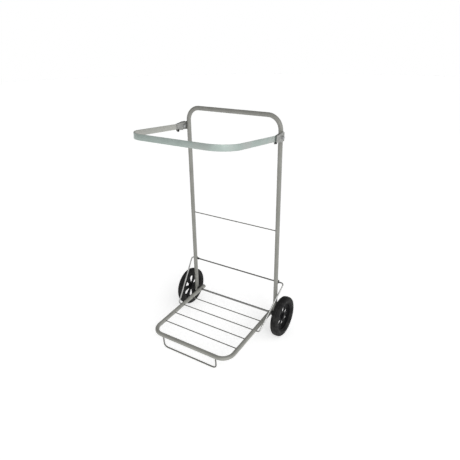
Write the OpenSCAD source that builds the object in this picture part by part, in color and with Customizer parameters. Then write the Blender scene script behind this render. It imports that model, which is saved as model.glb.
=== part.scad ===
// Folding two-wheel trolley: a bent-tube back frame with a handle, a folding
// wire tray held by a wire stay, a flat bag hoop on clip brackets and two
// plastic wheels with rubber tyres.
//
// Frame: Z up, X to the trolley's left and right, Y from front (-) to back (+).
// The origin is on the floor, in the middle of the trolley's footprint.

/* [Back frame] */
// Distance between the centre lines of the two legs
leg_spacing = 480; // [470:1:490]
// Height of the handle bar's centre line above the floor
handle_z = 1071; // [1040:1:1100]
// Outside diameter of the frame and tray tube
tube_d = 20; // [19:0.5:20]
// Wall thickness of the frame and tray tube
tube_wall = 1.5; // [1:0.1:2]
// Centre-line radius of the two bends beside the handle
handle_bend = 60; // [50:1:62]
// Height of the thin rung between the legs
mid_rung_z = 550; // [535:1:600]
// Diameter of the thin rungs
rung_d = 5; // [4:0.5:6]

/* [Wheels] */
// Outside diameter of a tyre, twice the axle's height
wheel_d = 200; // [196:1:202]
// Width of a tyre across its tread
tyre_w = 37; // [34:1:37]
// Distance between the middles of the two wheels
track = 562; // [560:1:570]
// Diameter of the axle
axle_d = 10; // [8:1:10]
// Distance of the axle behind the middle of the footprint
axle_y = 160; // [158:1:162]

/* [Tray] */
// Distance between the centre lines of the tray's side tubes
tray_w = 428; // [424:1:430]
// Distance from the axle to the centre line of the tray's front tube
tray_reach = 400; // [396:1:402]
// Centre-line radius of the tray's two front corners
tray_bend = 55; // [45:1:60]
// Angle at which the tray drops towards its front
tray_drop = 3.8; // [3.6:0.1:4]
// Length of side tube behind the axle
tray_tail = 31; // [25:1:33]
// Distance from the axle to the first rung
first_rung = 86; // [84:1:88]
// Distance from one rung to the next
rung_pitch = 74.5; // [73:0.5:76]
// Number of rungs across the tray
rung_count = 4; // [4:1:4]

/* [Foot and stay] */
// Diameter of the foot wire and the stay wire
wire_d = 7; // [6:0.5:7]
// Distance between the centre lines of the foot's two uprights
foot_w = 300; // [280:5:320]
// Height of the stay's cross bar, where it sits in the hooks
stay_z = 275; // [270:1:278]
// Distance of the stay's cross bar behind the leg centre lines
stay_back = 16; // [16:0.1:16.5]
// Width of the stay between its arms at the cross bar
stay_top_w = 553; // [548:1:558]
// Width of the stay between its arms at the tray
stay_foot_w = 480; // [478:1:481]

/* [Hoop] */
// Distance from the leg centre lines to the middle of the hoop's front bar
hoop_reach = 419; // [418:0.5:420]
// Distance between the middles of the hoop's arms at the pivot bolts
hoop_rear_w = 511; // [511:0.5:512]
// Distance between the hoop's arms, run on to its front bar
hoop_front_w = 488; // [486:1:492]
// Radius of the hoop's two front corners
hoop_bend = 97; // [85:1:105]
// Angle at which the hoop rises towards its front
hoop_rise = 4.6; // [4.4:0.1:4.8]
// Thickness of the hoop's strip
strip_t = 3; // [2.5:0.1:3]
// Height of the hoop's strip
strip_h = 25; // [24:0.5:25]

/* [Hidden] */

$fn = 64;
LEFT = -1;
RIGHT = 1;

// Paint, metal and plastic colours
paint = [0.56, 0.56, 0.53];
zinc = [0.68, 0.69, 0.70];
hoop_metal = [0.64, 0.71, 0.68];
rubber = [0.19, 0.19, 0.19];
hub_black = [0.07, 0.07, 0.08];
nylon = [0.12, 0.12, 0.13];
cap_grey = [0.62, 0.62, 0.63];

// Shared sizes
axle_z = wheel_d / 2;
tube_r = tube_d / 2;
wire_r = wire_d / 2;
running_gap = 0.05;      // radial clearance of a pin in a hole that turns on it
side_gap = 0.3;          // space between parts that move past each other
leg_x = leg_spacing / 2;
leg_tail = 15;           // length of leg below the axle
wheel_x = track / 2;
cut = 1;                 // how far a cutting tool runs past what it cuts

// Tray fold, stay and foot
tray_x = tray_w / 2;
stay_on_tray = 160.5;    // distance from the axle to the stay's pivots
foot_bend = 20;
foot_y = tray_reach - 2;
foot_drop = (axle_z - wire_r - foot_y * sin(tray_drop)) / cos(tray_drop);
stay_low = [-stay_on_tray * cos(tray_drop), axle_z - stay_on_tray * sin(tray_drop)];
stay_run = norm([stay_low.x - stay_back, stay_low.y - stay_z]);
stay_slope = atan2(stay_z - stay_low.y, stay_back - stay_low.x);
stay_end_gap = 0.4;      // space between a stay end and the tray tube
sleeve_l = 10;
sleeve_r = stay_back - tube_r - 0.4;

// Hook for the stay's cross bar
hook_d = 5;
hook_x = leg_x + 5;
hook_gap = 0.3;          // space between the cross bar and the hook's wire
hook_spread = wire_r + hook_d / 2 + hook_gap;

// Hoop pivot and bracket
pivot_y = -24;           // in front of the leg centre line
pivot_z = 988;
bolt_d = 8;
sheet = 2;               // thickness of the bracket's sheet metal
clip_gap = 0.1;          // space between the bracket and the leg
bracket_low = 970;
bracket_high = 1008;
bracket_taper = 7;       // rise of the bottom edge towards the front
bracket_reach = 76;
bracket_bend = 34;       // where the bracket's edges start to taper forwards
cheek_in = leg_x + tube_r + clip_gap;         // inner face of the inner cheek
cheek_out = cheek_in + sheet;                 // its outer face, towards the hoop's arm
peg = [-70, 974.2];
peg_r = 4.5;
washer_t = 1.2;
hoop_run = (hoop_reach + pivot_y) / cos(hoop_rise);
strip_in = hoop_rear_w / 2 - strip_t / 2;     // inner face of the hoop's arm at its bolt
strip_out = hoop_rear_w / 2 + strip_t / 2;
strip_end = 14;          // how far the strip runs on past its bolt
outer_cheek = strip_out + 2 * side_gap + washer_t;  // inner face of the outer cheek
bolt_end = outer_cheek + sheet + 9.5;
web_front = 62;          // the web joins the cheeks between these two distances
web_back = 48;

// Wheel sections
hub_r = 68;              // where the tyre sits on the hub
rim_t = 3;
rim_w = 18;
boss_r = 16.5;
boss_w = 20;
bush_r = 8;
web_t = 4;
window_in = 26.5;        // radius at the inner end of a window
window_out = 48.5;       // radius at the outer end of a window
window_in_r = 4.5;
window_out_r = 11;
window_count = 6;
first_window = 23;       // angle of a wheel's first window
spacer_r = 9;
washer_r = 10;
axle_end = 4.5;          // length of axle beyond a hub

function heading(a, b) = atan2(b.y - a.y, b.x - a.x);
function half_circle(t) = t > 180 ? t - 360 : t < -180 ? t + 360 : t;
function turn(a, b, c) = half_circle(heading(b, c) - heading(a, b));
function about(centre, r, a) = centre + r * [cos(a), sin(a)];
function mirrored(line) = [for (i = [len(line) - 1 : -1 : 0]) [-line[i].x, line[i].y]];
function reversed(line) = [for (i = [len(line) - 1 : -1 : 0]) line[i]];

// Sweeps a round section along a path in the XY plane, with a round bend at
// each inner point. With a lap, the straight stretches run that far into the
// bends, which are longer and $swell thicker, for turns that aren't square.
module sweep(path, bend, lap = 0) {
    last = len(path) - 1;
    overrun = asin(lap / 2 / bend);
    trim = [for (i = [0 : last])
        i == 0 || i == last ? 0 : bend * tan(abs(turn(path[i - 1], path[i], path[i + 1])) / 2) - lap];
    for (i = [0 : last - 1]) {
        way = heading(path[i], path[i + 1]);
        start = about(path[i], trim[i], way);
        translate([start.x, start.y, 0]) rotate([90, 0, way + 90])
            linear_extrude(norm(path[i + 1] - path[i]) - trim[i] - trim[i + 1])
                let ($swell = 0) children();
    }
    for (i = [1 : last - 1]) {
        way_in = heading(path[i - 1], path[i]);
        way_out = heading(path[i], path[i + 1]);
        bow = turn(path[i - 1], path[i], path[i + 1]);
        centre = about(about(path[i], -trim[i] - lap, way_in), bend, way_in + (bow > 0 ? 90 : -90));
        translate([centre.x, centre.y, 0])
            rotate([0, 0, (bow > 0 ? way_in - 90 : way_out + 90) - overrun])
                rotate_extrude(angle = abs(bow) + 2 * overrun, $fn = 96)
                    translate([bend, 0]) let ($swell = lap > 0 ? 0.02 : 0) children();
    }
}

// The round section of the frame and tray tube
module tube_section() {
    difference() {
        circle(tube_r);
        circle(tube_r - tube_wall);
    }
}

// Puts a part that is drawn about the axle line where the axle is
module on_axle() {
    translate([0, axle_y, axle_z]) children();
}

// Puts a part that is drawn from the floor under the axle where the legs are
module on_legs() {
    translate([0, axle_y, 0]) children();
}

// Lays a part drawn flat in XY onto the dropped tray, about the axle line
module on_tray() {
    on_axle() rotate([tray_drop, 0, 0]) children();
}

// A bar along X from x1 to x2, with its centre at y and z
module bar(x1, x2, r, y = 0, z = 0) {
    translate([min(x1, x2), y, z]) rotate([0, 90, 0]) cylinder(r = r, h = abs(x2 - x1));
}

// A pipe along X from x1 to x2, with a hole of radius r_in
module pipe(x1, x2, r, r_in, y = 0, z = 0) {
    difference() {
        bar(x1, x2, r, y, z);
        bar(min(x1, x2) - cut, max(x1, x2) + cut, r_in, y, z);
    }
}

// ---- Back frame -----------------------------------------------------------

module back_frame() {
    foot = axle_z - leg_tail;
    color(paint) difference() {
        on_legs() rotate([90, 0, 0])
            sweep([[leg_x, foot], [leg_x, handle_z], [-leg_x, handle_z], [-leg_x, foot]], handle_bend)
                tube_section();
        on_axle() bar(-leg_x - tube_d, leg_x + tube_d, axle_d / 2);
    }
}

// The rung's ends are cut to the round of the legs
module mid_rung() {
    color(paint) on_legs() difference() {
        bar(-leg_x, leg_x, rung_d / 2, 0, mid_rung_z);
        for (side = [LEFT, RIGHT])
            translate([side * leg_x, 0, mid_rung_z - tube_r]) cylinder(r = tube_r, h = tube_d);
    }
}

module leg_plug(side) {
    plug_r = tube_r - tube_wall;
    color(nylon) on_legs() translate([side * leg_x, 0, axle_z - leg_tail]) {
        translate([0, 0, -2]) cylinder(r = tube_r, h = 2);
        cylinder(r = plug_r, h = 6);
    }
}

// A J of wire beside the leg's centre line, welded to the back of the leg
module hook(side) {
    front = stay_back - hook_spread;
    rear = stay_back + hook_spread;
    bottom = stay_z - hook_spread;
    color(paint) on_legs() difference() {
        translate([side * hook_x, 0, 0]) rotate([90, 0, 90])
            sweep([[front, stay_z + 20], [front, bottom], [rear, bottom], [rear, stay_z + 8]],
                  hook_spread - 0.5)
                circle(hook_d / 2);
        translate([side * leg_x, 0, stay_z - tube_d]) cylinder(r = tube_r, h = 3 * tube_d);
    }
}

// ---- Axle and wheels ------------------------------------------------------

module axle() {
    long = wheel_x + boss_w / 2 + axle_end;
    color(zinc) on_axle() bar(-long, long, axle_d / 2);
}

// Dished push-on washer that keeps the wheel on the axle
module push_washer(side) {
    inner = wheel_x + boss_w / 2 + side_gap;
    color(nylon) on_axle() rotate([0, side * 90, 0]) translate([0, 0, inner]) difference() {
        union() {
            cylinder(r = washer_r, h = 1.5);
            translate([0, 0, 1.5]) cylinder(r1 = washer_r - 1, r2 = axle_d / 2 + 1, h = 1.5);
        }
        translate([0, 0, -cut]) cylinder(r = axle_d / 2, h = 3 + 2 * cut);
    }
}

module wheel_spacer(side) {
    color(nylon) on_axle()
        pipe(side * (leg_x + tube_r + side_gap), side * (wheel_x - boss_w / 2 - side_gap),
             spacer_r, axle_d / 2 + running_gap);
}

// Half of the tyre's section: X is the radius, Y runs across the tread
module tyre_half_section() {
    shoulder = 9;
    half = tyre_w / 2;
    out = wheel_d / 2;
    square_out = out - shoulder;
    polygon([[hub_r, 0], [hub_r, rim_w / 2], [hub_r + 6, half - 1.5], [hub_r + 8, half],
             [square_out, half], [square_out, 0]]);
    translate([square_out - cut, 0]) square([shoulder + cut, half - shoulder]);
    translate([square_out, half - shoulder]) circle(shoulder);
}

module tyre(side) {
    color(rubber) on_axle() translate([side * wheel_x, 0, 0]) rotate([0, 90, 0])
        rotate_extrude($fn = 128) {
            tyre_half_section();
            mirror([0, 1]) tyre_half_section();
        }
}

// One window between two spokes: a tapered slot with round ends
module window() {
    hull() {
        translate([window_in, 0]) circle(window_in_r, $fn = 32);
        translate([window_out, 0]) circle(window_out_r, $fn = 32);
    }
}

module wheel_hub(side) {
    color(hub_black) on_axle() translate([side * wheel_x, 0, 0]) rotate([0, 90, 0]) difference() {
        union() {
            difference() {
                cylinder(r = hub_r, h = rim_w, center = true);
                cylinder(r = hub_r - rim_t, h = rim_w + cut, center = true);
            }
            cylinder(r = hub_r - rim_t / 2, h = web_t, center = true);
            cylinder(r = boss_r, h = boss_w, center = true);
        }
        cylinder(r = bush_r, h = boss_w + cut, center = true);
        // A wheel angle is measured from the back of the trolley, towards the top
        for (i = [0 : window_count - 1])
            rotate([0, 0, 90 + first_window + i * 360 / window_count])
                translate([0, 0, -web_t]) linear_extrude(2 * web_t) window();
    }
}

module hub_bush(side) {
    color(nylon) on_axle()
        pipe(side * (wheel_x - boss_w / 2), side * (wheel_x + boss_w / 2),
             bush_r, axle_d / 2 + running_gap);
}

// ---- Tray -----------------------------------------------------------------

module tray_tube() {
    color(paint) difference() {
        on_tray()
            sweep([[-tray_x, tray_tail], [-tray_x, -tray_reach], [tray_x, -tray_reach], [tray_x, tray_tail]],
                  tray_bend)
                tube_section();
        on_axle() bar(-tray_x - tube_d, tray_x + tube_d, 7);
    }
}

// The rung's ends are cut to the round of the side tubes
module tray_rung(i) {
    y = -first_rung - i * rung_pitch;
    color(paint) on_tray() difference() {
        bar(-tray_x, tray_x, rung_d / 2, y);
        for (side = [LEFT, RIGHT])
            translate([side * tray_x, y - tube_r, 0]) rotate([-90, 0, 0]) cylinder(r = tube_r, h = tube_d);
    }
}

// A U of wire that hangs from the tray's front tube down to the floor
module foot_wire() {
    half = foot_w / 2;
    color(paint) on_tray() difference() {
        translate([0, -foot_y, 0]) rotate([90, 0, 0])
            sweep([[-half, 0], [-half, -foot_drop], [half, -foot_drop], [half, 0]], foot_bend)
                circle(wire_r);
        bar(-half - tube_d, half + tube_d, tube_r, -tray_reach);
    }
}

// Flanged bush on which the tray turns about the axle
module tray_bush(side) {
    flange = tray_x + tube_r;
    color(nylon) on_axle() difference() {
        union() {
            bar(side * (tray_x - tube_r), side * (flange + cut), 7);
            bar(side * (flange + 0.1), side * (leg_x - tube_r - side_gap), 12);
        }
        bar(-leg_x - tube_d, leg_x + tube_d, axle_d / 2 + running_gap);
    }
}

module tray_cap(side) {
    color(cap_grey) on_tray() translate([side * tray_x, tray_tail, 0]) rotate([-90, 0, 0]) {
        cylinder(r = tube_r, h = 2.5);
        translate([0, 0, -8]) cylinder(r = tube_r - tube_wall, h = 8);
    }
}

// ---- Stay -----------------------------------------------------------------

// A flat U of wire: the cross bar lies behind the legs, and the arms run
// forward and down outside them to the tray's side tubes
module stay_wire() {
    top = stay_top_w / 2;
    low = stay_foot_w / 2;
    end = tray_x + tube_r + stay_end_gap;
    color(zinc) on_legs() translate([0, stay_back, stay_z]) rotate([stay_slope, 0, 0])
        sweep([[end, -stay_run], [low, -stay_run], [top, 0], [-top, 0], [-low, -stay_run], [-end, -stay_run]],
              11, 0.4)
            circle(wire_r + $swell, $fn = 48);
}

// Plastic sleeve on the cross bar, which slides up the back of a leg
module stay_sleeve(side) {
    color(nylon) on_legs()
        pipe(side * (leg_x - sleeve_l), side * leg_x, sleeve_r, wire_r + running_gap, stay_back, stay_z);
}

// ---- Hoop -----------------------------------------------------------------

// Moves a part drawn about the pivot bolts' line to that line
module on_pivot() {
    on_legs() translate([0, pivot_y, pivot_z]) children();
}

// A cheek of the bracket seen from the side: it narrows forwards
module bracket_outline(back) {
    polygon([[back, bracket_low], [back, bracket_high],
             [-bracket_bend, bracket_high], [-bracket_reach, bracket_high - 4],
             [-bracket_reach, bracket_low + bracket_taper], [-bracket_bend, bracket_low]]);
}

// Bottom edge of the bracket at a distance in front of the leg's middle
function bracket_edge(y) =
    bracket_low + bracket_taper * (y - bracket_bend) / (bracket_reach - bracket_bend);

// Sheet bent round the back of the leg, with a cheek on each side of the
// hoop's arm. A web under the arm joins the cheeks.
module bracket(side) {
    ring_in = tube_r + clip_gap;
    ring_out = ring_in + sheet;
    cheek_side = side * (ring_in + sheet / 2);
    base = bracket_low - tube_d;
    color(zinc) difference() {
        union() {
            intersection() {
                on_legs() translate([side * leg_x, 0, base]) linear_extrude(bracket_high - base)
                    difference() {
                        union() {
                            circle(ring_out);
                            translate([cheek_side - sheet / 2, -bracket_reach]) square([sheet, bracket_reach]);
                        }
                        circle(ring_in);
                        translate([-ring_in, -bracket_reach]) square([2 * ring_in, bracket_reach]);
                        translate([-side * ring_out, 0]) square(2 * ring_out, center = true);
                    }
                on_legs() translate([side * leg_x - tube_d, 0, 0]) rotate([90, 0, 90])
                    linear_extrude(2 * tube_d) {
                        bracket_outline(tube_d);
                        translate(peg) circle(7);
                    }
            }
            on_legs() translate([side * (outer_cheek + sheet / 2), 0, 0]) rotate([90, 0, 90])
                linear_extrude(sheet, center = true) bracket_outline(-6);
            on_legs() translate([side * (cheek_in + outer_cheek + sheet) / 2, 0, 0]) rotate([90, 0, 90])
                linear_extrude(outer_cheek + sheet - cheek_in, center = true)
                    polygon([[-web_front, bracket_edge(web_front)], [-web_back, bracket_edge(web_back)],
                             [-web_back, bracket_edge(web_back) + sheet],
                             [-web_front, bracket_edge(web_front) + sheet]]);
        }
        on_pivot() bar(side * (cheek_in - cut), side * (outer_cheek + sheet + cut), bolt_d / 2 + running_gap);
        on_legs() bar(side * (cheek_in - cut), side * (cheek_out + cut), 3, peg.x, peg.y);
    }
}

module pivot_bolt(side) {
    head = 5.5;
    color(zinc) on_pivot() rotate([0, side * 90, 0]) {
        translate([0, 0, cheek_in - head]) cylinder(d = 15, h = head, $fn = 6);
        translate([0, 0, cheek_in]) cylinder(d = bolt_d, h = bolt_end - cheek_in);
    }
}

module pivot_nut(side) {
    color(zinc) on_pivot() rotate([0, side * 90, 0]) translate([0, 0, outer_cheek + sheet])
        difference() {
            union() {
                cylinder(d = 15, h = 5, $fn = 6);
                translate([0, 0, 5]) cylinder(d = 11.5, h = 1.8);
            }
            translate([0, 0, -cut]) cylinder(d = bolt_d, h = 8 + cut);
        }
}

// One washer on each side of the hoop's arm
module pivot_washers(side) {
    color(nylon) on_pivot() {
        pipe(side * cheek_out, side * (cheek_out + washer_t), 9, bolt_d / 2);
        pipe(side * (outer_cheek - washer_t), side * outer_cheek, 9, bolt_d / 2);
    }
}

// Rubber peg in the cheek, on which the hoop's arm rests
module stop_peg(side) {
    color(rubber) on_legs() {
        bar(side * (cheek_in - 3), side * cheek_in, 6, peg.x, peg.y);
        bar(side * cheek_in, side * cheek_out, 3, peg.x, peg.y);
        bar(side * cheek_out, side * outer_cheek, peg_r, peg.x, peg.y);
    }
}

// One long side of the hoop's strip seen from above, from the middle of the
// front bar to the right-hand bolt. It lies off from the strip's middle.
function hoop_side(off) =
    let (front = hoop_front_w / 2,
         rear = hoop_rear_w / 2,
         taper = atan((rear - front) / hoop_run),
         corner = [front - hoop_bend * tan((90 - taper) / 2), hoop_bend - hoop_run],
         steps = 24)
    [for (i = [0 : steps]) about(corner, hoop_bend + off, -90 + i * (90 - taper) / steps),
     about([rear, 0], off, -taper) + (strip_end + cut) * [sin(taper), cos(taper)]];

function hoop_line(off) = concat(mirrored(hoop_side(off)), hoop_side(off));

// The strip's ends are rounded about the bolts
module hoop_band() {
    color(hoop_metal) on_pivot() difference() {
        rotate([-hoop_rise, 0, 0]) intersection() {
            linear_extrude(strip_h, center = true)
                polygon(concat(hoop_line(strip_t / 2), reversed(hoop_line(-strip_t / 2))));
            union() {
                bar(-hoop_rear_w, hoop_rear_w, strip_end);
                translate([-hoop_rear_w, -2 * hoop_run, -strip_h])
                    cube([2 * hoop_rear_w, 2 * hoop_run, 2 * strip_h]);
            }
        }
        bar(-hoop_rear_w, -strip_in + strip_t, bolt_d / 2 + running_gap);
        bar(strip_in - strip_t, hoop_rear_w, bolt_d / 2 + running_gap);
    }
}

// ---- Parts ----------------------------------------------------------------

back_frame();
mid_rung();
leg_plug(LEFT);  // leg_plug_left
leg_plug(RIGHT);  // leg_plug_right
hook(LEFT);  // hook_left
hook(RIGHT);  // hook_right
axle();
push_washer(LEFT);  // push_washer_left
push_washer(RIGHT);  // push_washer_right
wheel_spacer(LEFT);  // wheel_spacer_left
wheel_spacer(RIGHT);  // wheel_spacer_right
bracket(LEFT);  // bracket_left
bracket(RIGHT);  // bracket_right
pivot_bolt(LEFT);  // pivot_bolt_left
pivot_bolt(RIGHT);  // pivot_bolt_right
pivot_nut(LEFT);  // pivot_nut_left
pivot_nut(RIGHT);  // pivot_nut_right
pivot_washers(LEFT);  // pivot_washers_left
pivot_washers(RIGHT);  // pivot_washers_right
stop_peg(LEFT);  // stop_peg_left
stop_peg(RIGHT);  // stop_peg_right
tyre(LEFT);  // tyre_left
tyre(RIGHT);  // tyre_right
wheel_hub(LEFT);  // wheel_hub_left
wheel_hub(RIGHT);  // wheel_hub_right
hub_bush(LEFT);  // hub_bush_left
hub_bush(RIGHT);  // hub_bush_right
tray_tube();
tray_rung(0);  // tray_rung_1
tray_rung(1);  // tray_rung_2
tray_rung(2);  // tray_rung_3
tray_rung(3);  // tray_rung_4
foot_wire();
tray_bush(LEFT);  // tray_bush_left
tray_bush(RIGHT);  // tray_bush_right
tray_cap(LEFT);  // tray_cap_left
tray_cap(RIGHT);  // tray_cap_right
stay_wire();
stay_sleeve(LEFT);  // stay_sleeve_left
stay_sleeve(RIGHT);  // stay_sleeve_right
hoop_band();
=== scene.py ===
"""The looks of a folding two-wheel trolley with a bag hoop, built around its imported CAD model.

Lengths are metres, in the CAD model's frame: X across the trolley, Y from front (-) to back (+), Z up.
"""

import math

import bmesh
import bpy
from mathutils import Matrix, Vector, noise


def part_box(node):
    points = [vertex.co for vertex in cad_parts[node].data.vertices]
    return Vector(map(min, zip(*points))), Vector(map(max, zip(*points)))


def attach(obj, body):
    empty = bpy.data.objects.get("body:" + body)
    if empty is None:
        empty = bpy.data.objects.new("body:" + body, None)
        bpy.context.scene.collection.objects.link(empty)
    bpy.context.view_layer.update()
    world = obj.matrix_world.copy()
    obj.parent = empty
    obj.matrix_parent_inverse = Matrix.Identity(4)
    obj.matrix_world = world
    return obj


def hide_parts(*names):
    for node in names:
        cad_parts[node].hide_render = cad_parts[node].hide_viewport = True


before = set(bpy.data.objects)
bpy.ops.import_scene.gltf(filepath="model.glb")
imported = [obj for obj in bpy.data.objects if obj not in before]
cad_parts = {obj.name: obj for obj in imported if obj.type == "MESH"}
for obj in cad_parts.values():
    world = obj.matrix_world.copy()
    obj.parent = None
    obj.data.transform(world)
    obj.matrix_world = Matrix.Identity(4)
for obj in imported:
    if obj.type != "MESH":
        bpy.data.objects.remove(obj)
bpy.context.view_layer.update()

MM = 0.001
SIDES = {"left": -1, "right": 1}
X_AXIS = Vector((1, 0, 0))
Y_AXIS = Vector((0, 1, 0))
Z_AXIS = Vector((0, 0, 1))


# ---- Sizes, from the frame -------------------------------------------------


def middle(node):
    low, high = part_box(node)
    return (low + high) / 2


def on_middle(node):
    """The middle of a node, moved to the trolley's middle plane."""
    place = middle(node)
    return Vector((0, place.y, place.z))


def extent(node):
    low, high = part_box(node)
    return high - low


def from_middle(node):
    """Where a node on one side of the trolley starts and ends, as distances from the middle."""
    low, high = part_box(node)
    return sorted((abs(low.x), abs(high.x)))


axle = on_middle("axle")
axle_r = extent("axle").z / 2
tube_r = extent("leg_plug_right").x / 2
tube_wall = 1.5 * MM
leg_x = middle("leg_plug_right").x
leg_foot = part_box("back_frame")[0].z
handle_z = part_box("back_frame")[1].z - tube_r
handle_bend = 60 * MM
rung_r = extent("mid_rung").z / 2

wheel_x = middle("tyre_right").x
wheel_r = extent("tyre_right").z / 2
tyre_half = extent("tyre_right").x / 2
hub_r = extent("wheel_hub_right").z / 2
boss_half = extent("wheel_hub_right").x / 2
rim_half = 9 * MM
rim_in = hub_r - 3 * MM
window_in = 26.5 * MM
window_out = 48.5 * MM
window_in_r = 4.5 * MM
window_out_r = 11 * MM
window_count = 6
first_window = math.radians(23)

tray_x = middle("tray_cap_right").x
tray_rungs = sorted(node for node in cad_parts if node.startswith("tray_rung_"))
first_rung = middle(tray_rungs[0])
last_rung = middle(tray_rungs[-1])
tray_drop = math.atan2(first_rung.z - last_rung.z, first_rung.y - last_rung.y)
tray_back = Vector((0, math.cos(tray_drop), math.sin(tray_drop)))
tray_up = Vector((0, -math.sin(tray_drop), math.cos(tray_drop)))
tray_front = (axle.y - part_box("tray_tube")[0].y - tube_r) / math.cos(tray_drop)
tray_tail = 31 * MM
tray_bend = 55 * MM

wire_r = 3.5 * MM
foot_x = extent("foot_wire").x / 2 - wire_r
foot_front = tray_front - 2 * MM
foot_drop = (axle.z - wire_r - foot_front * math.sin(tray_drop)) / math.cos(tray_drop)
foot_bend = 20 * MM

stay_bar = on_middle("stay_sleeve_right")
stay_low = axle - tray_back * 160.5 * MM
stay_top_x = extent("stay_wire").x / 2 - wire_r
stay_end_x = tray_x + tube_r + 0.4 * MM
hook_x = middle("hook_right").x
hook_r = extent("hook_right").x / 2

pivot = on_middle("pivot_washers_right")
hoop_rise = math.radians(4.6)
hoop_forward = Vector((0, -math.cos(hoop_rise), math.sin(hoop_rise)))
hoop_up = Vector((0, math.sin(hoop_rise), math.cos(hoop_rise)))
strip_t = 3 * MM
strip_h = 25 * MM
strip_end = 14 * MM
hoop_rear = 255.5 * MM
hoop_front = 244 * MM
hoop_run = 395 * MM / math.cos(hoop_rise)
hoop_bend = 97 * MM

sheet_t = 2 * MM
bracket_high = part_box("bracket_right")[1].z
bracket_low = pivot.z - 18 * MM
bracket_front = 76 * MM
bracket_bend = 34 * MM
bracket_taper_high = 4 * MM
bracket_taper_low = 7 * MM
web_front = 62 * MM
web_back = 48 * MM
wrap_gap = 0.1 * MM
peg = on_middle("stop_peg_right")


# ---- Shader helpers --------------------------------------------------------


class Nodes:
    """Short calls for the nodes of one tree."""

    def __init__(self, tree):
        self.tree = tree

    def add(self, kind, **values):
        node = self.tree.nodes.new(kind)
        for key, value in values.items():
            setattr(node, key, value)
        return node

    def link(self, output, target):
        self.tree.links.new(output, target)

    def put(self, value, socket):
        """Sets a socket to a number or a colour, or links an output to it."""
        if isinstance(value, (float, int)):
            socket.default_value = value
        elif isinstance(value, tuple):
            socket.default_value = (*value, 1)
        else:
            self.link(value, socket)

    def both(self, first, second, how="MULTIPLY"):
        node = self.add("ShaderNodeMath", operation=how)
        self.put(first, node.inputs[0])
        self.put(second, node.inputs[1])
        return node.outputs[0]

    def span(self, value, low, high, to_low=0.0, to_high=1.0, how="LINEAR"):
        node = self.add("ShaderNodeMapRange", interpolation_type=how)
        limits = {"From Min": low, "From Max": high, "To Min": to_low, "To Max": to_high}
        for socket, number in limits.items():
            node.inputs[socket].default_value = number
        self.link(value, node.inputs["Value"])
        return node.outputs["Result"]


class Shader(Nodes):
    """A material with a Principled shader."""

    def __init__(self, name, rough=0.5, metal=0.0, **sockets):
        self.material = bpy.data.materials.new(name)
        self.material.use_nodes = True
        super().__init__(self.material.node_tree)
        self.principled = self.tree.nodes["Principled BSDF"]
        self.principled.inputs["Roughness"].default_value = rough
        self.principled.inputs["Metallic"].default_value = metal
        for socket, value in sockets.items():
            self.principled.inputs[socket.replace("_", " ")].default_value = value
        self.place = self.add("ShaderNodeTexCoord").outputs["Object"]

    def set(self, socket, output):
        self.link(output, self.principled.inputs[socket])

    def stretched(self, scale, turn=(0, 0, 0)):
        """Object coordinates, turned and then scaled along each axis."""
        mapping = self.add("ShaderNodeMapping")
        mapping.inputs["Rotation"].default_value = turn
        mapping.inputs["Scale"].default_value = scale
        self.link(self.place, mapping.inputs["Vector"])
        return mapping.outputs["Vector"]

    def noise(self, scale, detail=3.0, rough=0.5, place=None):
        node = self.add("ShaderNodeTexNoise")
        node.inputs["Scale"].default_value = scale
        node.inputs["Detail"].default_value = detail
        node.inputs["Roughness"].default_value = rough
        self.link(place or self.place, node.inputs["Vector"])
        return node.outputs["Fac"]

    def cells(self, scale):
        node = self.add("ShaderNodeTexVoronoi")
        node.inputs["Scale"].default_value = scale
        self.link(self.place, node.inputs["Vector"])
        return node.outputs["Distance"]

    def colours(self, value, *stops):
        """A colour ramp: stops are (position, (r, g, b))."""
        node = self.add("ShaderNodeValToRGB")
        elements = node.color_ramp.elements
        while len(elements) < len(stops):
            elements.new(0.5)
        for element, (position, colour) in zip(elements, stops):
            element.position = position
            element.color = (*colour, 1)
        self.link(value, node.inputs["Fac"])
        return node.outputs["Color"]

    def mix(self, share, first, second):
        node = self.add("ShaderNodeMix", data_type="RGBA")
        for value, index in ((share, 0), (first, 6), (second, 7)):
            self.put(value, node.inputs[index])
        return node.outputs[2]

    def height(self):
        """How high a point is above the floor at rest."""
        split = self.add("ShaderNodeSeparateXYZ")
        self.link(self.place, split.inputs["Vector"])
        return split.outputs["Z"]

    def bump(self, heights, depth, strength=1.0):
        """Heights are (value, share) pairs, and are added up."""
        total = None
        for value, share in heights:
            part = self.both(value, share)
            total = part if total is None else self.both(total, part, "ADD")
        node = self.add("ShaderNodeBump")
        node.inputs["Strength"].default_value = strength
        node.inputs["Distance"].default_value = depth
        self.link(total, node.inputs["Height"])
        self.set("Normal", node.outputs["Normal"])


# ---- Materials -------------------------------------------------------------


def paint(name, shade=1.0):
    """Warm grey enamel with a faint orange peel, small flecks, and scuffs low down."""
    # shade scales every colour: the lighter and darker copies of this enamel below are painted light and
    # painted shade
    def tone(*colour):
        return tuple(channel * shade for channel in colour)

    s = Shader(name, Coat_Weight=0.22, Coat_Roughness=0.2)
    cloud = s.noise(14, 4)
    base = s.colours(cloud, (0.35, tone(0.205, 0.205, 0.186)), (0.65, tone(0.24, 0.24, 0.219)))
    speck = s.span(s.noise(900, 2), 0.62, 0.72)
    flecked = s.mix(s.both(speck, 0.25), base, tone(0.34, 0.34, 0.32))
    scuff = s.span(s.noise(60, 6, 0.7, s.stretched((1, 1, 0.25))), 0.6, 0.72)
    low = s.span(s.height(), 0.12, 0.0)
    worn = s.both(scuff, s.span(low, 0, 1, 0.08, 0.55))
    s.set("Base Color", s.mix(worn, flecked, tone(0.11, 0.105, 0.095)))
    s.set("Roughness", s.span(s.noise(45, 5), 0.3, 0.7, 0.34, 0.5))
    s.bump([(s.noise(420, 2), 1.0), (s.noise(1500, 2), 0.35)], 0.00012, 0.5)
    return s.material


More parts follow.
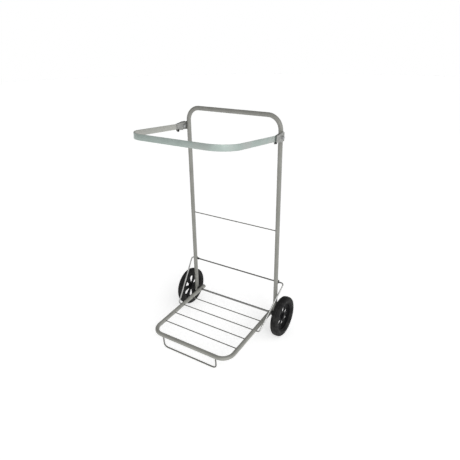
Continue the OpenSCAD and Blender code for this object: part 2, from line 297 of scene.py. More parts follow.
def weld_paint():
    """The same enamel over a weld: rougher, with small ripples."""
    s = Shader("weld_enamel", Coat_Weight=0.2, Coat_Roughness=0.25)
    s.set("Base Color", s.colours(s.noise(300, 4), (0.3, (0.19, 0.19, 0.172)), (0.7, (0.275, 0.273, 0.25))))
    s.set("Roughness", s.span(s.noise(500, 3), 0.3, 0.7, 0.38, 0.62))
    s.bump([(s.noise(1200, 3), 1.0)], 0.0003, 0.7)
    return s.material


def zinc(name="bright_zinc", low=(0.42, 0.425, 0.43), high=(0.62, 0.625, 0.635), rough=0.3, metal=1.0):
    """Plated steel with a faint crystal pattern and cloudy gloss."""
    s = Shader(name, metal=metal)
    spangle = s.cells(260)
    cloud = s.noise(70, 5, 0.6)
    tint = s.colours(cloud, (0.3, low), (0.7, high))
    s.set("Base Color", s.mix(s.span(spangle, 0.1, 0.8, 0, 0.45), tint, low))
    s.set("Roughness", s.span(s.noise(160, 4), 0.3, 0.7, rough - 0.08, rough + 0.16))
    s.bump([(s.noise(700, 3), 1.0)], 0.0001, 0.5)
    return s.material


def drawn_wire():
    """Bright wire: fine lines along it, with a few duller patches."""
    s = Shader("drawn_wire", metal=1.0)
    patch = s.noise(40, 5, 0.65)
    s.set("Base Color", s.colours(patch, (0.3, (0.36, 0.36, 0.35)), (0.65, (0.54, 0.54, 0.53))))
    s.set("Roughness", s.span(s.noise(220, 4), 0.3, 0.7, 0.24, 0.44))
    s.bump([(s.noise(900, 2), 1.0)], 0.00006, 0.5)
    return s.material


def rolled_strip(name, dark, mid, light):
    """Rolled steel strip: cloudy plating with fine lines along its length."""
    s = Shader(name, metal=0.7)
    lines = s.noise(60, 4, 0.6, s.stretched((0.6, 0.6, 60), (-hoop_rise, 0, 0)))
    cloud = s.noise(9, 4, 0.55)
    tint = s.colours(cloud, (0.32, dark), (0.52, mid), (0.7, light))
    bright = tuple(1.3 * channel for channel in mid)
    s.set("Base Color", s.mix(s.span(lines, 0.3, 0.7, 0.0, 0.35), tint, bright))
    s.set("Roughness", s.span(lines, 0.3, 0.7, 0.34, 0.5))
    s.bump([(lines, 1.0), (s.noise(260, 3), 0.3)], 0.00008, 0.6)
    return s.material


def rubber(name, colour, dust, rough=0.78):
    """Moulded rubber with a fine grain, and dust on it."""
    s = Shader(name, Specular_IOR_Level=0.2)
    cloud = s.noise(38, 5, 0.62)
    s.set("Base Color", s.mix(s.span(cloud, 0.42, 0.72, 0.0, 0.6), colour, dust))
    s.set("Roughness", s.span(s.noise(120, 4), 0.3, 0.7, rough - 0.1, rough + 0.1))
    s.bump([(s.noise(1400, 3), 0.6), (s.cells(700), 0.4)], 0.00025, 0.7)
    return s.material


def plastic(name, colour, pale, rough=0.42, shine=0.5):
    """Moulded plastic with a fine spark-eroded texture."""
    s = Shader(name, Specular_IOR_Level=shine)
    cloud = s.noise(55, 4)
    s.set("Base Color", s.mix(s.span(cloud, 0.4, 0.75, 0.0, 0.5), colour, pale))
    s.set("Roughness", s.span(s.noise(240, 4), 0.3, 0.7, rough - 0.07, rough + 0.12))
    s.bump([(s.noise(2200, 2), 1.0)], 0.00012, 0.6)
    return s.material


ENAMEL = paint("grey_enamel")
# The thin wires wear a darker copy of the same enamel: painted shade
SHADED_WIRE_ENAMEL = paint("wire_enamel_painted_shade", 0.66)
# The tray's tubes wear a lighter copy of the same enamel: painted light, as if lit more from above
LIT_TRAY_ENAMEL = paint("tray_enamel_painted_light", 1.28)
WELD = weld_paint()
ZINC = zinc()
GALVANISED = zinc("galvanised_sheet", (0.25, 0.255, 0.24), (0.42, 0.42, 0.41), 0.38, 0.6)
WIRE = drawn_wire()
# A darker copy of the wire for the stay's cross bar: painted shade
SHADED_BAR_WIRE = zinc("stay_bar_painted_shade", (0.17, 0.17, 0.165), (0.27, 0.27, 0.26), 0.4, 0.8)
AXLE_STEEL = zinc("axle_steel", (0.26, 0.26, 0.255), (0.40, 0.40, 0.39), 0.4, 0.8)
STRIP = rolled_strip("rolled_strip", (0.31, 0.37, 0.342), (0.375, 0.435, 0.41), (0.42, 0.43, 0.415))
STRIP_INSIDE = rolled_strip("rolled_strip_inside", (0.355, 0.36, 0.335), (0.405, 0.41, 0.38),
                            (0.43, 0.43, 0.41))
TYRE = rubber("tyre_rubber", (0.011, 0.011, 0.0115), (0.05, 0.0495, 0.0465))
PEG = rubber("peg_rubber", (0.012, 0.012, 0.012), (0.03, 0.03, 0.03), 0.6)
HUB = plastic("hub_plastic", (0.0025, 0.0025, 0.0032), (0.0055, 0.0055, 0.0065), 0.46, 0.1)
NYLON = plastic("black_nylon", (0.011, 0.011, 0.012), (0.02, 0.02, 0.021), 0.5)
CAP = plastic("grey_cap", (0.36, 0.375, 0.40), (0.44, 0.455, 0.475), 0.46)


# ---- Mesh helpers ----------------------------------------------------------


class Skin:
    """Points and faces of one piece. Rows of points are skinned into a tube, closed along each row."""

    def __init__(self):
        self.points = []
        self.faces = []

    def rows(self, rows, ring=False):
        """Skins between rows of equal length. With ring, the last joins the first. Without, ends close."""
        start, count = len(self.points), len(rows[0])
        for row in rows:
            self.points.extend(row)
        pairs = len(rows) if ring else len(rows) - 1
        for i in range(pairs):
            a, b = start + i * count, start + (i + 1) % len(rows) * count
            for k in range(count):
                n = (k + 1) % count
                self.faces.append((a + k, a + n, b + n, b + k))
        if not ring:
            self.faces.append(tuple(range(start, start + count)))
            self.faces.append(tuple(reversed(range(start + (len(rows) - 1) * count, len(self.points)))))
        return self

    def piece(self, name, body, material, slot, stands_for=(), sharp=32, weld=None):
        """Makes the object, smooth but for edges sharper than that angle, riding on its body."""
        mesh = bpy.data.meshes.new(name)
        mesh.from_pydata([tuple(p) for p in self.points], [], self.faces)
        bm = bmesh.new()
        bm.from_mesh(mesh)
        if weld:
            bmesh.ops.remove_doubles(bm, verts=bm.verts, dist=weld)
        bmesh.ops.recalc_face_normals(bm, faces=bm.faces)
        for face in bm.faces:
            face.smooth = True
        for edge in bm.edges:
            if len(edge.link_faces) == 2 and edge.calc_face_angle(0) > math.radians(sharp):
                edge.smooth = False
        bm.to_mesh(mesh)
        bm.free()
        mesh.materials.append(material)
        obj = bpy.data.objects.new(name, mesh)
        bpy.context.scene.collection.objects.link(obj)
        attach(obj, body)
        if stands_for:
            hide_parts(*stands_for)
        return obj


def rounded_path(corners, bend, step=math.radians(3.5)):
    """(point, direction) along straight stretches, with a round bend at each inner corner."""
    path = [(corners[0], (corners[1] - corners[0]).normalized())]
    for before, corner, after in zip(corners, corners[1:], corners[2:]):
        way_in = (corner - before).normalized()
        way_out = (after - corner).normalized()
        angle = way_in.angle(way_out)
        inward = (way_out - way_in * way_in.dot(way_out)).normalized()
        start = corner - way_in * bend * math.tan(angle / 2)
        centre = start + inward * bend
        steps = max(2, math.ceil(angle / step))
        for k in range(steps + 1):
            a = angle * k / steps
            path.append((
                centre - inward * bend * math.cos(a) + way_in * bend * math.sin(a),
                way_in * math.cos(a) + inward * math.sin(a),
            ))
    path.append((corners[-1], (corners[-1] - corners[-2]).normalized()))
    return path


def circle_row(centre, u, v, r, count):
    turn = 2 * math.pi / count
    return [centre + (u * math.cos(k * turn) + v * math.sin(k * turn)) * r for k in range(count)]


def eased_ends(path, ease, r):
    """(point, direction, radius) along a path, with a rounded edge at both ends."""
    steps = 4
    first, last = path[0], path[-1]
    turns = [math.pi / 2 * k / steps for k in range(steps + 1)]
    start = [(first[0] + first[1] * ease * (1 - math.sin(t)), first[1], r - ease * (1 - math.cos(t)))
             for t in reversed(turns)]
    end = [(last[0] - last[1] * ease * (1 - math.sin(t)), last[1], r - ease * (1 - math.cos(t)))
           for t in turns]
    return start, [(p, w, r) for p, w in path[1:-1]], end


def rod(skin, path, normal, r, count=24, ease=0.6 * MM):
    """A solid rod with rounded end edges."""
    start, along, end = eased_ends(path, ease, r)
    rows = [circle_row(p, w.cross(normal).normalized(), normal, radius, count)
            for p, w, radius in start + along + end]
    return skin.rows(rows)


def pipe(skin, path, normal, r, wall):
    """A hollow tube: its outside, its rounded ends and its inside."""
    start, along, end = eased_ends(path, 0.5 * MM, r)
    outside, inside = [], []
    for p, w, radius in start + along + end:
        u = w.cross(normal).normalized()
        outside.append(circle_row(p, u, normal, radius, 48))
        inside.append(circle_row(p, u, normal, 2 * r - wall - radius, 48))
    return skin.rows(outside + inside[::-1], ring=True)


def lathe(skin, profile, origin, along, count=64, ring=False):
    """Turns (radius, place along the axis) about a line through origin. Without ring, flat ends close it."""
    along = along.normalized()
    u = along.orthogonal().normalized()
    v = along.cross(u)
    rows = [circle_row(origin + along * t, u, v, max(r, 0.02 * MM), count) for r, t in profile]
    return skin.rows(rows, ring=ring)


def washer_profile(r_in, r_out, low, high, ease):
    """A ring's section with its four edges eased, for a lathe with ring."""
    corners = (
        (r_in + ease, low + ease, 180),
        (r_out - ease, low + ease, 270),
        (r_out - ease, high - ease, 0),
        (r_in + ease, high - ease, 90),
    )
    profile = []
    for r, t, first in corners:
        for k in range(4):
            a = math.radians(first + 30 * k)
            profile.append((r + ease * math.cos(a), t + ease * math.sin(a)))
    return profile


def hexagon(skin, flats, low, high, origin, along, chamfer_low=False):
    """A hexagonal head or nut with its corners chamfered by a cone, on one end or both."""
    count = 96
    along = along.normalized()
    u = along.orthogonal().normalized()
    v = along.cross(u)
    apothem = flats / 2
    slope = math.tan(math.radians(30))
    circle_r = apothem * 0.985

    def row(t_of, r_of):
        points = []
        for k in range(count):
            a = 2 * math.pi * k / count
            r_hex = apothem / math.cos((a + math.pi / 6) % (math.pi / 3) - math.pi / 6)
            points.append(origin + along * t_of(r_hex) + (u * math.cos(a) + v * math.sin(a)) * r_of(r_hex))
        return points

    rows = []
    if chamfer_low:
        rows.append(row(lambda r: low, lambda r: circle_r))
        rows.append(row(lambda r: low + (r - circle_r) * slope, lambda r: r))
    else:
        rows.append(row(lambda r: low, lambda r: r))
    rows.append(row(lambda r: high - (r - circle_r) * slope, lambda r: r))
    rows.append(row(lambda r: high, lambda r: circle_r))
    return skin.rows(rows)


def weld_bead(skin, centre, out, along, tube, rod_radius, seed, bead=1.2 * MM):
    """A bead round a rod that leaves a tube. Centre is on the tube's axis, out is the rod's direction."""
    count = 44
    out = out.normalized()
    along = along.normalized()
    side = out.cross(along)
    r = rod_radius + 0.35 * bead
    rows = []
    for k in range(count):
        a = 2 * math.pi * k / count
        x, y = r * math.cos(a), r * math.sin(a)
        rise = math.sqrt(max(tube * tube - y * y, 0))
        ripple = noise.noise(Vector((math.cos(a) * 2, math.sin(a) * 2, seed * 7.3)))
        point = centre + out * (rise + 0.1 * bead) + along * x + side * y
        radial = along * math.cos(a) + side * math.sin(a)
        size = bead * (1 + 0.22 * ripple + 0.06 * math.sin(9 * a + seed))
        rows.append(circle_row(point, radial, out, size, 10))
    return skin.rows(rows, ring=True)


def make_rung(beads, piece, node, body, tube_x, normal, along, seed):
    """A thin rung between two tubes, with a weld bead at each end."""
    mid = middle(node)
    reach = tube_x - math.sqrt(tube_r**2 - rung_r**2) + 0.3 * MM
    ends = [(mid + X_AXIS * side * reach, X_AXIS) for side in (-1, 1)]
    rung = rod(Skin(), ends, normal, rung_r, 24, 0.2 * MM)
    # The rung wears the darker copy of the enamel: painted shade
    rung.piece(piece, body, SHADED_WIRE_ENAMEL, "frame_paint", [node])
    for side in (-1, 1):
        weld_bead(beads, mid + X_AXIS * side * tube_x, X_AXIS * -side, along, tube_r, rung_r, seed + side)


def weld_run(start, end, steps, seed, wave, margin, power, rough):
    """A run of weld up a leg, thin at both ends."""
    rows = []
    for k in range(steps + 1):
        centre = start.lerp(end, k / steps)
        ripple = noise.noise(Vector((*seed, centre.z * wave)))
        swell = math.sin(math.pi * (margin + (1 - 2 * margin) * k / steps)) ** power
        rows.append(circle_row(centre, X_AXIS, Y_AXIS, (1.5 + rough * ripple) * MM * swell, 12))
    return Skin().rows(rows)


def on_tray(x, back, up=0.0):
    """A point on the tray: across it, back from the axle line and above the tubes' centre lines."""
    return Vector((x, axle.y, axle.z)) + tray_back * back + tray_up * up


# ---- Back frame ------------------------------------------------------------


def make_back_frame():
    corners = [
        Vector((-leg_x, axle.y, leg_foot)), Vector((-leg_x, axle.y, handle_z)),
        Vector((leg_x, axle.y, handle_z)), Vector((leg_x, axle.y, leg_foot)),
    ]
    tube = pipe(Skin(), rounded_path(corners, handle_bend), Y_AXIS, tube_r, tube_wall)
    tube.piece("frame_tube", "frame", ENAMEL, "frame_paint", ["back_frame"])

    beads = Skin()
    make_rung(beads, "leg_rung", "mid_rung", "frame", leg_x, Z_AXIS, Z_AXIS, 2)
    beads.piece("leg_rung_welds", "frame", WELD, "frame_paint")


def make_leg_plug(name, side):
    """A plastic foot plug with a domed bottom and a lip against the tube."""
    r, inner = tube_r, tube_r - tube_wall
    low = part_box(f"leg_plug_{name}")[0].z
    lip = leg_foot - low
    profile = [(0, 0), (r * 0.6, 0.05 * MM), (r * 0.85, 0.25 * MM), (r - 0.25 * MM, 0.8 * MM),
               (r, lip * 0.62), (r - 0.15 * MM, lip), (inner, lip), (inner, lip + 5 * MM),
               (inner - 0.8 * MM, lip + 6 * MM), (0, lip + 6 * MM)]
    skin = lathe(Skin(), profile, Vector((side * leg_x, axle.y, low)), Z_AXIS, 48)
    skin.piece(f"foot_plug_{name}", "frame", NYLON, "nylon", [f"leg_plug_{name}"])


def make_hook(name, side):
    """A J of wire with a rounded free end, and a run of weld along the leg."""
    spread = wire_r + hook_r + 0.3 * MM
    front, rear, bottom = stay_bar.y - spread, stay_bar.y + spread, stay_bar.z - spread
    x = side * hook_x
    corners = [
        Vector((x, front, stay_bar.z + 20 * MM)), Vector((x, front, bottom)),
        Vector((x, rear, bottom)), Vector((x, rear, stay_bar.z + 8 * MM)),
    ]
    path = rounded_path(corners, spread - 0.5 * MM, math.radians(6))
    wire = rod(Skin(), path, X_AXIS, hook_r, 20, 1.1 * MM)
    wire.piece(f"hook_wire_{name}", "frame", SHADED_WIRE_ENAMEL, "frame_paint", [f"hook_{name}"])

    start = Vector((x + side * 1.6 * MM, axle.y + tube_r * 0.86, stay_bar.z - 3 * MM))
    weld = weld_run(start, start + Z_AXIS * 21 * MM, 26, (side, 3.1), 700, 0.06, 0.4, 0.25)
    weld.piece(f"hook_weld_{name}", "frame", WELD, "frame_paint")


# ---- Axle and wheels -------------------------------------------------------


def make_axle():
    half = extent("axle").x / 2
    profile = [(0, -half), (axle_r - 0.9 * MM, -half), (axle_r, -half + 0.9 * MM),
               (axle_r, half - 0.9 * MM), (axle_r - 0.9 * MM, half), (0, half)]
    lathe(Skin(), profile, axle, X_AXIS, 48).piece("axle_rod", "frame", AXLE_STEEL, "zinc", ["axle"])


def make_push_washer(name, side):
    """A dished spring washer with teeth that grip the axle."""
    low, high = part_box(f"push_washer_{name}")
    start = low.x if side > 0 else high.x
    r_out = (high.z - low.z) / 2
    skin = Skin()
    count, teeth = 96, 6
    section = [
        (1.0, 0.0), (1.0, 0.5), (0.96, 0.95), (0.88, 1.05), (0.8, 1.15), (0.6, 2.2), (0.5, 2.75),
        (0.0, 2.9), (0.0, 2.2), (0.5, 1.9), (0.6, 1.3), (0.8, 0.3), (0.9, 0.0),
    ]
    rows = []
    for share, t in section:
        row = []
        for k in range(count):
            a = 2 * math.pi * k / count
            inner = axle_r + 0.05 * MM + (0.9 * MM if math.cos(teeth * a) > 0.45 else 0)
            r = inner + (r_out - inner) * share
            row.append(Vector((start + side * t * MM, axle.y + r * math.cos(a), axle.z + r * math.sin(a))))
        rows.append(row)
    skin.rows(rows, ring=True)
    skin.piece(f"retaining_washer_{name}", "frame", NYLON, "nylon", [f"push_washer_{name}"])


def make_ring(piece, node, body, r_in):
    """A plain nylon ring along X, in the place of a CAD node."""
    low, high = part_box(node)
    profile = washer_profile(r_in, (high.z - low.z) / 2, low.x, high.x, 0.5 * MM)
    skin = lathe(Skin(), profile, on_middle(node), X_AXIS, 64, ring=True)
    skin.piece(piece, body, NYLON, "nylon", [node])


TYRE_SHOULDER = 10 * MM
TYRE_CROWN = 0.7 * MM


def tyre_side():
    """Half of the tyre's section, from its seat on the hub to the end of its round shoulder."""
    half = tyre_half
    side = ((0, -0.6, rim_half), (0.7, 0, rim_half), (1.8, 0.3, rim_half), (2.6, 1.4, rim_half),
            (4.4, 5.0, rim_half), (6.0, -2.0, half), (7.2, -1.0, half), (8.4, -0.45, half), (10, -0.2, half),
            (13, -0.05, half))
    points = [(hub_r + r * MM, base + t * MM) for r, t, base in side]
    mould_line = wheel_r - TYRE_SHOULDER
    for r, t in ((-3.4, 0), (-3.0, -0.7), (-2.2, -0.7), (-1.8, -0.05)):
        points.append((mould_line + r * MM, half + t * MM))
    for k in range(9):
        a = math.pi / 2 * k / 8
        points.append((wheel_r - TYRE_CROWN - TYRE_SHOULDER * (1 - math.sin(a)),
                       half - TYRE_SHOULDER * (1 - math.cos(a))))
    return points


def tyre_tread(flat):
    """The crowned tread across its flat part, with a groove to each side of the middle."""
    groove, groove_depth, ridge = 1.1 * MM, 1.6 * MM, 0.35 * MM

    def crowned(t):
        return wheel_r - TYRE_CROWN * (t / flat) ** 2

    points = []
    for mid in (flat * 0.62, -flat * 0.62):
        for offset, depth in ((1.5, 0), (1.0, 0.25), (0.75, 1), (-0.75, 1), (-1.0, 0.25), (-1.5, 0)):
            t = mid + offset * groove
            points.append((crowned(t) - depth * groove_depth, t))
        if mid > 0:
            points.extend((crowned(t), t) for t in (flat * 0.3, ridge, 0, -ridge, -flat * 0.3))
    return points


def make_tyre(name, side):
    """A solid tyre: a bead ring, a mould line, two grooves round the tread and notched shoulders."""
    flat = tyre_half - TYRE_SHOULDER
    half = tyre_side()
    section = half + tyre_tread(flat) + [(r, -t) for r, t in reversed(half)]
    count, notches = 384, 64
    rows = []
    for r, t in section:
        row = []
        outward = min(1, max(0, (abs(t) - flat * 0.86) / (3 * MM)))
        near_tread = min(1, max(0, (r - wheel_r + 9 * MM) / (4 * MM)))
        for k in range(count):
            a = 2 * math.pi * k / count
            phase = (k * notches / count + (0.5 if t < 0 else 0)) % 1
            notch = 1.2 * MM * outward * near_tread if 0.36 < phase < 0.64 else 0
            row.append(Vector((side * wheel_x + t, axle.y + (r - notch) * math.cos(a),
                               axle.z + (r - notch) * math.sin(a))))
        rows.append(row)
    skin = Skin().rows(rows, ring=True)
    skin.piece(f"solid_tyre_{name}", f"wheel_{name}", TYRE, "tyre_rubber", [f"tyre_{name}"], 28)


def window_distance(x, y):
    """How far a point is outside a window that lies along X: a tapered slot with round ends."""
    long = window_out - window_in
    along, across = x - window_in, abs(y)
    b = (window_in_r - window_out_r) / long
    a = math.sqrt(1 - b * b)
    k = -b * across + a * along
    if k < 0:
        return math.hypot(along, across) - window_in_r
    if k > a * long:
        return math.hypot(along - long, across) - window_out_r
    return across * a + along * b - window_in_r


def window_edge(centre, direction):
    """Where a ray from inside the window meets its edge."""
    near, far = 0.0, 40 * MM
    for _ in range(40):
        mid = (near + far) / 2
        if window_distance(centre + direction[0] * mid, direction[1] * mid) < 0:
            near = mid
        else:
            far = mid
    return near


def smooth(value):
    value = min(1.0, max(0.0, value))
    return value * value * (3 - 2 * value)


def web_height(x, y, sector):
    """Half the web's thickness: a lip round the window, a rib on the spoke, and fillets at boss and rim."""
    away = window_distance(x, y)
    r = math.hypot(x, y)
    to_spoke = r * math.sin(max(0.0, sector / 2 - abs(math.atan2(y, x))))
    lip = 0.4 * MM * smooth(away / (0.6 * MM)) * (1 - smooth((away - 1.8 * MM) / (1.2 * MM)))
    rib = 0.9 * MM * (1 - smooth((to_spoke - 1.0 * MM) / (1.2 * MM))) * smooth((r - 16 * MM) / (4 * MM))
    boss = 2.5 * MM * (1 - smooth((r - 16.5 * MM) / (4 * MM)))
    rim = 2.5 * MM * (1 - smooth((rim_in - r) / (3 * MM)))
    return 1.6 * MM + max(lip, rib) + boss + rim


def hub_web(centre):
    """The web between boss and rim, in one sector for each window."""
    skin = Skin()
    sector = 2 * math.pi / window_count
    r_in, r_out = 14.5 * MM, rim_in + 1 * MM
    spoke, outer_arc, inner_arc = 14, 24, 10
    deep = r_out - r_in
    edge = [(r_in + deep * k / spoke, sector / 2) for k in range(spoke)]
    edge.extend((r_out, sector / 2 - sector * k / outer_arc) for k in range(outer_arc))
    edge.extend((r_out - deep * k / spoke, -sector / 2) for k in range(spoke))
    edge.extend((r_in, -sector / 2 + sector * k / inner_arc) for k in range(inner_arc))
    arcs = {*range(spoke, spoke + outer_arc), *range(len(edge) - inner_arc, len(edge))}
    middle_x = 41 * MM
    shares = (0, 0.02, 0.05, 0.09, 0.14, 0.2, 0.27, 0.35, 0.44, 0.54, 0.64, 0.74, 0.83, 0.91, 1)
    count = len(edge)
    for index in range(window_count):
        turn = Matrix.Rotation(first_window + sector * index, 3, "X")
        front, back = [], []
        for r, a in edge:
            bx, by = r * math.cos(a), r * math.sin(a)
            far = math.hypot(bx - middle_x, by)
            way = ((bx - middle_x) / far, by / far)
            near = window_edge(middle_x, way)
            for share in shares:
                d = near + (far - near) * share
                x, y = middle_x + way[0] * d, way[1] * d
                h = web_height(x, y, sector)
                front.append(centre + turn @ Vector((h, x, y)))
                back.append(centre + turn @ Vector((-h, x, y)))
        start, behind = len(skin.points), len(front)
        skin.points.extend(front)
        skin.points.extend(back)
        n = len(shares)
        for k in range(count):
            a, b = start + k * n, start + (k + 1) % count * n
            for j in range(n - 1):
                skin.faces.append((a + j, b + j, b + j + 1, a + j + 1))
                skin.faces.append((a + j + behind, a + j + 1 + behind, b + j + 1 + behind, b + j + behind))
            skin.faces.append((a, a + behind, b + behind, b))
            if k in arcs:
                a, b = a + n - 1, b + n - 1
                skin.faces.append((a, b, b + behind, a + behind))
    return skin


def make_hub(name, side):
    """A moulded hub: boss, web with six windows, and a rim with a stepped edge on both faces."""
    body = f"wheel_{name}"
    centre = Vector((side * wheel_x, axle.y, axle.z))
    web = hub_web(centre)
    web.piece(f"hub_web_{name}", body, HUB, "hub_plastic", [f"wheel_hub_{name}"], 40, weld=0.004 * MM)

    half = rim_half
    outline = [(hub_r, half - 0.6 * MM), (hub_r - 0.5 * MM, half), (hub_r - 1.5 * MM, half),
               (hub_r - 2.0 * MM, half - 0.4 * MM), (hub_r - 2.2 * MM, half - 1.6 * MM),
               (hub_r - 2.8 * MM, half - 2.6 * MM), (rim_in, half - 4.2 * MM), (rim_in, 2 * MM)]
    rim = outline + [(r, -t) for r, t in reversed(outline)]
    skin = lathe(Skin(), rim, centre, X_AXIS, 128, ring=True)
    skin.piece(f"hub_rim_{name}", body, HUB, "hub_plastic", (), 34)

    half = boss_half
    boss = [(8 * MM, half - 0.8 * MM), (8.8 * MM, half), (12.2 * MM, half), (13 * MM, half - 0.4 * MM),
            (13.4 * MM, half - 1.4 * MM), (14.8 * MM, half - 1.7 * MM), (15.8 * MM, half - 2.4 * MM),
            (16.3 * MM, half - 5 * MM), (16.8 * MM, 1.2 * MM)]
    boss = boss + [(r, -t) for r, t in reversed(boss)]
    skin = lathe(Skin(), boss, centre, X_AXIS, 96, ring=True)
    skin.piece(f"hub_boss_{name}", body, HUB, "hub_plastic", (), 34)


# ---- Tray ------------------------------------------------------------------


def make_tray():
    corners = [on_tray(-tray_x, tray_tail), on_tray(-tray_x, -tray_front),
               on_tray(tray_x, -tray_front), on_tray(tray_x, tray_tail)]
    tube = pipe(Skin(), rounded_path(corners, tray_bend), tray_up, tube_r, tube_wall)
    # The tray's tubes wear the lighter copy of the enamel: painted light
    tube.piece("tray_side_tube", "tray", LIT_TRAY_ENAMEL, "frame_paint", ["tray_tube"])

    beads = Skin()
    for index, node in enumerate(tray_rungs, 1):
        make_rung(beads, f"deck_rung_{index}", node, "tray", tray_x, tray_up, tray_back, index * 2)
    beads.piece("deck_rung_welds", "tray", WELD, "frame_paint")


def make_foot():
    top = -math.sqrt(tube_r**2 - (tray_front - foot_front) ** 2) + 0.4 * MM
    corners = [on_tray(x, -foot_front, up)
               for x, up in ((-foot_x, top), (-foot_x, -foot_drop), (foot_x, -foot_drop), (foot_x, top))]
    path = rounded_path(corners, foot_bend)
    rod(Skin(), path, tray_back, wire_r, 28, 0.2 * MM).piece(
        "foot_bar", "tray", SHADED_WIRE_ENAMEL, "frame_paint", ["foot_wire"])
    beads = Skin()
    for side in (-1, 1):
        root = on_tray(side * foot_x, -tray_front)
        weld_bead(beads, root, -tray_up, X_AXIS, tube_r, wire_r, side + 9, 1.4 * MM)
    beads.piece("foot_welds", "tray", WELD, "frame_paint")


def make_tray_cap(name, side):
    """A pale end cap: a collar against the tube, and a shallow dome."""
    r, inner = tube_r, tube_r - tube_wall
    thick = 2.5 * MM
    profile = [(0, -8 * MM), (inner - 0.8 * MM, -8 * MM), (inner, -7 * MM), (inner, 0), (r - 0.2 * MM, 0),
               (r, 0.3 * MM), (r, thick * 0.45), (r - 0.35 * MM, thick * 0.72), (r - 1.2 * MM, thick * 0.93),
               (r - 2.6 * MM, thick), (r * 0.4, thick), (r * 0.36, thick - 0.3 * MM), (0, thick - 0.3 * MM)]
    skin = lathe(Skin(), profile, on_tray(side * tray_x, tray_tail), tray_back, 48)
    skin.piece(f"end_cap_{name}", "tray", CAP, "tube_cap", [f"tray_cap_{name}"])


def make_tray_bush(name, side):
    """A flanged bush: its sleeve fills the tube's cross hole, and its flange faces the leg."""
    inner, start = axle_r + 0.05 * MM, tray_x - tube_r
    flange, end = tray_x + tube_r + 0.1 * MM, leg_x - tube_r - 0.3 * MM
    profile = [(inner, start + 0.4 * MM), (inner + 0.4 * MM, start),
               (6.6 * MM, start), (7 * MM, start + 0.4 * MM),
               (7 * MM, flange), (11.5 * MM, flange), (12 * MM, flange + 0.5 * MM), (12 * MM, end - 1.4 * MM),
               (11.2 * MM, end - 0.5 * MM), (9 * MM, end - 0.4 * MM), (8.4 * MM, end),
               (inner + 0.5 * MM, end), (inner, end - 0.5 * MM)]
    skin = lathe(Skin(), [(r, side * t) for r, t in profile], axle, X_AXIS, 64, ring=True)
    skin.piece(f"pivot_bush_{name}", "tray", NYLON, "nylon", [f"tray_bush_{name}"])


# ---- Stay ------------------------------------------------------------------


def make_stay():
    run = (stay_bar - stay_low).normalized()
    ends = [(stay_low, -stay_end_x), (stay_low, -leg_x), (stay_bar, -stay_top_x),
            (stay_bar, stay_top_x), (stay_low, leg_x), (stay_low, stay_end_x)]
    corners = [place + X_AXIS * x for place, x in ends]
    path = rounded_path(corners, 11 * MM)
    wire = rod(Skin(), path, run.cross(X_AXIS).normalized(), wire_r, 28, 0.8 * MM)
    mesh = wire.piece("stay_rod", "stay", WIRE, "stay_steel", ["stay_wire"]).data
    mesh.materials.append(SHADED_BAR_WIRE)
    # The cross bar is painted darker than the arms, in a darker copy of the wire: painted shade
    for face in mesh.polygons:
        across = [mesh.vertices[corner].co.x for corner in face.vertices]
        if max(across) - min(across) > stay_top_x:
            face.material_index = 1


# ---- Hoop ------------------------------------------------------------------


def strip_row(centre, across, up, half_t, half_h):
    """The strip's section, with rounded edges."""
    ease = min(half_t * 0.55, half_h * 0.5)
    row = []
    for x, y, first in ((1, 1, 0), (-1, 1, 90), (-1, -1, 180), (1, -1, 270)):
        for k in range(5):
            a = math.radians(first + 22.5 * k)
            row.append(centre + across * (x * (half_t - ease) + ease * math.cos(a))
                       + up * (y * (half_h - ease) + ease * math.sin(a)))
    return row


def make_hoop():
    """One strip: round ends about the bolts, long arms, and a front bar between two wide bends."""
    front = pivot + hoop_forward * hoop_run
    arm = (front + X_AXIS * hoop_front - pivot - X_AXIS * hoop_rear).normalized()
    mirrored_arm = Vector((-arm.x, arm.y, arm.z))
    corners = [
        pivot - X_AXIS * hoop_rear - mirrored_arm * strip_end, front - X_AXIS * hoop_front,
        front + X_AXIS * hoop_front, pivot + X_AXIS * hoop_rear - arm * strip_end,
    ]
    path = rounded_path(corners, hoop_bend, math.radians(2))
    quarter = [math.pi / 2 * k / 12 for k in range(13)]

    def round_end(point, way, inward, turns):
        return [(point + inward * strip_end * (1 - math.cos(a)), way, max(0.06, math.sin(a))) for a in turns]

    first, last = path[0], path[-1]
    along = round_end(*first, first[1], quarter)
    along.extend((p, w, 1.0) for p, w in path[1:-1])
    along.extend(round_end(*last, -last[1], reversed(quarter)))
    rows = [strip_row(p, w.cross(hoop_up).normalized(), hoop_up, strip_t / 2, strip_h / 2 * share)
            for p, w, share in along]
    strip = Skin().rows(rows).piece("hoop_strip", "hoop", STRIP, "hoop_strip", ["hoop_band"]).data
    strip.materials.append(STRIP_INSIDE)
    around = len(rows[0])
    inner_side = range(7, 13)
    for face in strip.polygons:
        if face.index < (len(rows) - 1) * around and face.index % around in inner_side:
            face.material_index = 1


def rounded_outline(corners, bend):
    """A flat outline of (y, z) corners, each rounded."""
    outline = []
    count = len(corners)
    for k in range(count):
        before, corner, after = (Vector(corners[(k + n) % count]) for n in (-1, 0, 1))
        way_in, way_out = (corner - before).normalized(), (after - corner).normalized()
        angle = way_in.angle(way_out)
        reach = min(bend * math.tan(angle / 2), 0.4 * (corner - before).length, 0.4 * (after - corner).length)
        start, end = corner - way_in * reach, corner + way_out * reach
        for n in range(5):
            share = n / 4
            outline.append(start.lerp(corner, share).lerp(corner.lerp(end, share), share))
    return outline


